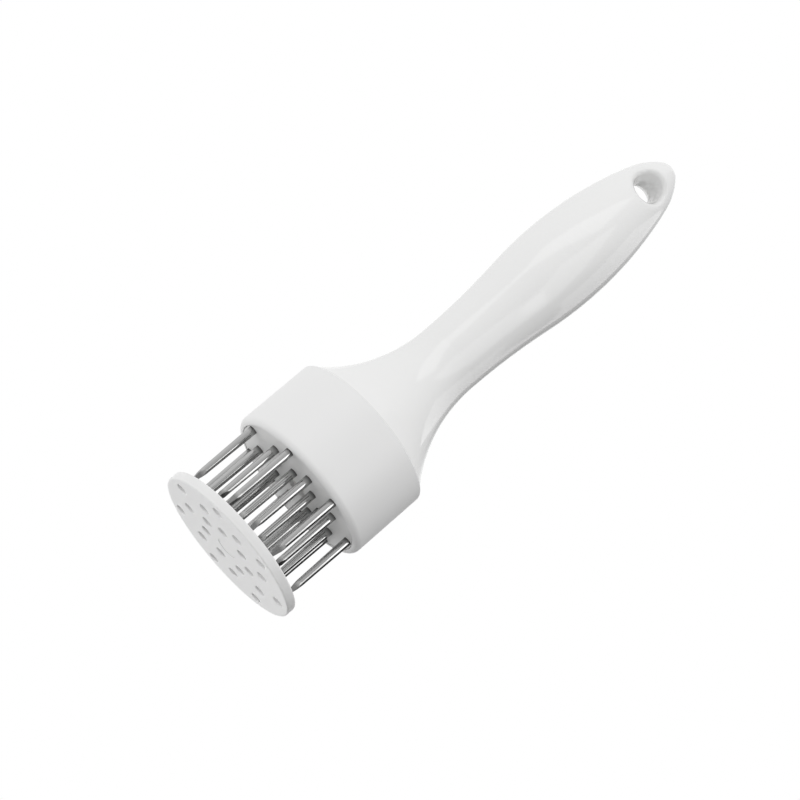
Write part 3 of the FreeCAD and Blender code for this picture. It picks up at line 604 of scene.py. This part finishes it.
def panel_light(name, place, target, width, height, lean, level):
    """A soft panel whose top leans to its left, as bright as its level times white."""
    data = bpy.data.lights.new(name, "AREA")
    data.shape = "RECTANGLE"
    data.size = width
    data.size_y = height
    data.energy = level * math.pi * width * height
    lamp = bpy.data.objects.new(name, data)
    bpy.context.scene.collection.objects.link(lamp)
    lamp.location = place
    lamp.rotation_mode = "QUATERNION"
    facing = (Vector(target) - Vector(place)).to_track_quat("-Z", "Y")
    lamp.rotation_quaternion = facing @ Quaternion((0.0, 0.0, 1.0), math.radians(lean))
    lamp.visible_camera = False


# Each panel: name, middle, point that it faces, width, height, lean and its level's setting
GRIP = (0.0, 0.0, 0.1)
FOOT = (0.0, 0.0, 0.015)
PANELS = (
    ("panel_left", (-0.262, -0.440, 0.43), GRIP, 0.21, 0.56, -50.0, "left_level"),
    ("panel_right", (0.294, -0.405, 0.25), GRIP, 0.27, 0.55, 50.0, "right_level"),
    ("panel_needles", (0.347, -0.360, 0.18), FOOT, 0.36, 0.09, 0.0, "needle_level"),
    ("panel_edge", (0.489, 0.104, 0.43), GRIP, 0.50, 0.32, 0.0, "edge_level"),
)

# Brightness of the room round the object: degrees from -Y towards +X, and the level there,
# at the object's own height, overhead and from below
ROOM = (
    (-180.0, 0.85),
    (-130.0, 0.85),
    (-90.0, 0.95),
    (-62.0, 0.88),
    (-45.0, 0.80),
    (0.0, 0.68),
    (48.0, 0.57),
    (66.0, 0.06),
    (148.0, 0.06),
    (172.0, 0.85),
)
ROOM_ABOVE = (
    (-180.0, 0.90),
    (-90.0, 0.95),
    (0.0, 0.90),
    (50.0, 0.75),
    (90.0, 0.55),
    (150.0, 0.60),
    (180.0, 0.90),
)
ROOM_BELOW = (
    (-180.0, 0.95),
    (-60.0, 1.0),
    (-30.0, 0.80),
    (0.0, 0.58),
    (40.0, 0.40),
    (66.0, 0.06),
    (148.0, 0.06),
    (172.0, 0.95),
)


# Where one part of the room gives way to the next: heights of a direction, and degrees
OVERHEAD = (0.38, 0.66)
UNDERFOOT = (0.05, -0.25)
BEHIND = (150.0, 172.0)
STRAIGHT_DOWN = (-0.55, -1.0)
DOWN_SHARE = 0.7

# The floor: its radius, how far it lies under the object, and where it fades out
FLOOR_RADIUS = 0.5
FLOOR_DROP = 0.0005
FLOOR_FADE = (0.12, 0.4)


def smooth_share(tree, place, value, low, high, most=1.0):
    """A smooth rise from nothing at the low value to the most at the high one."""
    node = add(tree, "ShaderNodeMapRange", place, interpolation_type="SMOOTHSTEP")
    node.inputs["From Min"].default_value = low
    node.inputs["From Max"].default_value = high
    node.inputs["To Max"].default_value = most
    link(tree, (value, node.inputs["Value"]))
    return node.outputs[0]


def room_ramp(tree, place, turn, levels):
    """The room's brightness by the share of a full turn round the object."""
    ramp = add(tree, "ShaderNodeValToRGB", place)
    stops = ramp.color_ramp.elements
    while len(stops) > 1:
        stops.remove(stops[-1])
    for number, (degrees, level) in enumerate(levels):
        stop = stops[0] if number == 0 else stops.new(degrees / 360.0 + 0.5)
        stop.position = degrees / 360.0 + 0.5
        stop.color = (level, level, level, 1.0)
    link(tree, (turn, ramp.inputs[0]))
    return ramp.outputs[0]


def backdrop():
    """White to the camera. The object stands in a dimmer room, white behind, above and below it."""
    world = bpy.data.worlds.new("studio_backdrop")
    bpy.context.scene.world = world
    world.use_nodes = True
    tree = world.node_tree
    tree.nodes.clear()
    heading = add(tree, "ShaderNodeTexCoord", (-1300, 0))
    parts = add(tree, "ShaderNodeSeparateXYZ", (-1100, 0))
    link(tree, (heading.outputs["Generated"], parts.inputs[0]))
    forward = maths(tree, (-950, -50), "MULTIPLY", parts.outputs["Y"], -1.0)
    turn = maths(tree, (-800, 50), "ARCTAN2", parts.outputs["X"], forward)
    place = maths(tree, (-650, 250), "MULTIPLY_ADD", turn, 0.5 / math.pi, 0.5)
    room = room_ramp(tree, (-500, 500), place, ROOM)
    for levels, heights, down in ((ROOM_ABOVE, OVERHEAD, 800), (ROOM_BELOW, UNDERFOOT, 200)):
        blend = add(tree, "ShaderNodeMix", (-150, down))
        link(
            tree,
            (smooth_share(tree, (-500, down - 50), parts.outputs["Z"], *heights), blend.inputs[0]),
            (room, blend.inputs[2]),
            (room_ramp(tree, (-500, down + 150), place, levels), blend.inputs[3]),
        )
        room = blend.outputs[0]
    away = maths(tree, (-650, -100), "ABSOLUTE", turn)
    behind = smooth_share(tree, (-500, -100), away, *(math.radians(edge) for edge in BEHIND))
    down = smooth_share(tree, (-500, -350), parts.outputs["Z"], *STRAIGHT_DOWN, DOWN_SHARE)
    ray = add(tree, "ShaderNodeLightPath", (-500, 1250))
    white = maths(tree, (-250, -100), "MULTIPLY", behind, ray.outputs["Is Glossy Ray"])
    white = maths(tree, (-100, -100), "MAXIMUM", white, down)
    white = maths(tree, (50, 0), "MAXIMUM", white, ray.outputs["Is Camera Ray"])
    white = maths(tree, (200, 0), "MAXIMUM", white, ray.outputs["Is Transmission Ray"])
    level = add(tree, "ShaderNodeMix", (350, 200))
    level.inputs[3].default_value = 1.0
    glow = add(tree, "ShaderNodeBackground", (550, 200))
    output = add(tree, "ShaderNodeOutputWorld", (750, 200))
    link(
        tree,
        (white, level.inputs[0]),
        (room, level.inputs[2]),
        (level.outputs[0], glow.inputs["Strength"]),
        (glow.outputs[0], output.inputs["Surface"]),
    )
    glow.inputs["Color"].default_value = (1.0, 1.0, 1.0, 1.0)


def floor_material(tone):
    """White seen from above with the object's shadow, clear from below and at its far edge."""
    material = bpy.data.materials.new("floor_white")
    material.use_nodes = True
    tree = material.node_tree
    tree.nodes.clear()
    paper = add(tree, "ShaderNodeBsdfDiffuse", (-200, 100))
    paper.inputs["Color"].default_value = (tone, tone, tone, 1.0)
    clear = add(tree, "ShaderNodeBsdfTransparent", (-200, -100))
    where = add(tree, "ShaderNodeTexCoord", (-900, 300))
    reach = add(tree, "ShaderNodeVectorMath", (-700, 300), operation="LENGTH")
    fade = smooth_share(tree, (-500, 300), reach.outputs["Value"], *FLOOR_FADE)
    side = add(tree, "ShaderNodeNewGeometry", (-700, 0))
    hide = maths(tree, (-300, 300), "MAXIMUM", fade, side.outputs["Backfacing"])
    choice = add(tree, "ShaderNodeMixShader", (50, 0))
    output = add(tree, "ShaderNodeOutputMaterial", (250, 0))
    link(
        tree,
        (where.outputs["Object"], reach.inputs[0]),
        (hide, choice.inputs[0]),
        (paper.outputs[0], choice.inputs[1]),
        (clear.outputs[0], choice.inputs[2]),
        (choice.outputs[0], output.inputs["Surface"]),
    )
    return material


class TENDERIZER_OT_stage(Operator):
    """Build the pale floor, the white backdrop, the soft panels and the camera"""

    bl_idname = "tenderizer.stage"
    bl_label = "Build Stage"

    def execute(self, context):
        look = context.scene.tenderizer_studio
        sheet = bmesh.new()
        bmesh.ops.create_circle(sheet, cap_ends=True, segments=96, radius=FLOOR_RADIUS)
        bmesh.ops.translate(sheet, vec=(0.0, 0.0, -FLOOR_DROP), verts=sheet.verts)
        mesh = bpy.data.meshes.new("floor")
        sheet.to_mesh(mesh)
        sheet.free()
        floor = bpy.data.objects.new("floor", mesh)
        context.scene.collection.objects.link(floor)
        mesh.materials.append(floor_material(look.floor_tone))
        floor.visible_diffuse = False
        floor.visible_glossy = False
        floor.visible_transmission = False
        floor.visible_shadow = False
        backdrop()
        for *panel, level in PANELS:
            panel_light(*panel, getattr(look, level))
        self.camera(context, look)
        context.scene.view_settings.view_transform = "Standard"
        return {"FINISHED"}

    def camera(self, context, look):
        """Stands the camera where the tool's axis runs up to the right of the picture."""
        turn = Matrix.Rotation(look.camera_turn, 3, "Z")
        rise = look.camera_rise
        along = turn @ Vector((0.0, -math.sin(rise), math.cos(rise)))
        ahead = turn @ Vector((0.0, math.cos(rise), math.sin(rise)))
        side = turn @ Vector((1.0, 0.0, 0.0))
        right = along * math.cos(look.camera_roll) + side * math.sin(look.camera_roll)
        up = along * math.sin(look.camera_roll) - side * math.cos(look.camera_roll)
        data = bpy.data.cameras.new("camera")
        data.lens = look.lens
        data.sensor_width = 36.0
        camera = bpy.data.objects.new("camera", data)
        context.scene.collection.objects.link(camera)
        axes = Matrix((right, up, -ahead)).transposed().to_4x4()
        place = along * look.camera_slide - ahead * look.camera_reach
        camera.matrix_world = Matrix.Translation(place) @ axes
        context.scene.camera = camera


class TENDERIZER_PT_panel(Panel):
    """Lists the finishes and the stage in the sidebar"""

    bl_idname = "TENDERIZER_PT_panel"
    bl_label = "Tenderizer"
    bl_space_type = "VIEW_3D"
    bl_region_type = "UI"
    bl_category = "Tenderizer"

    def draw(self, context):
        scene = context.scene
        for settings in (scene.tenderizer_plastic, scene.tenderizer_steel, scene.tenderizer_studio):
            column = self.layout.box().column(align=True)
            for name in settings.bl_rna.properties.keys():
                if name not in {"rna_type", "name"}:
                    column.prop(settings, name)
        for operator in OPERATORS:
            self.layout.operator(operator.bl_idname)


OPERATORS = (
    TENDERIZER_OT_handle,
    TENDERIZER_OT_sleeve,
    TENDERIZER_OT_disc,
    TENDERIZER_OT_plates,
    TENDERIZER_OT_needles,
    TENDERIZER_OT_guide,
    TENDERIZER_OT_spring,
    TENDERIZER_OT_stage,
)
SETTINGS = {
    "tenderizer_plastic": PlasticSettings,
    "tenderizer_steel": SteelSettings,
    "tenderizer_studio": StudioSettings,
}


def register():
    """Makes the settings, operators and panel known to Blender."""
    for item in (*SETTINGS.values(), *OPERATORS, TENDERIZER_PT_panel):
        bpy.utils.register_class(item)
    for name, kind in SETTINGS.items():
        setattr(bpy.types.Scene, name, PointerProperty(type=kind))


def unregister():
    """Takes them away again."""
    for name in SETTINGS:
        delattr(bpy.types.Scene, name)
    for item in reversed((*SETTINGS.values(), *OPERATORS, TENDERIZER_PT_panel)):
        bpy.utils.unregister_class(item)


def main():
    """Runs every operator in order."""
    register()
    bpy.ops.tenderizer.handle()
    bpy.ops.tenderizer.sleeve()
    bpy.ops.tenderizer.disc()
    bpy.ops.tenderizer.plates()
    bpy.ops.tenderizer.needles()
    bpy.ops.tenderizer.guide()
    bpy.ops.tenderizer.spring()
    bpy.ops.tenderizer.stage()


if __name__ == "__main__":
    main()
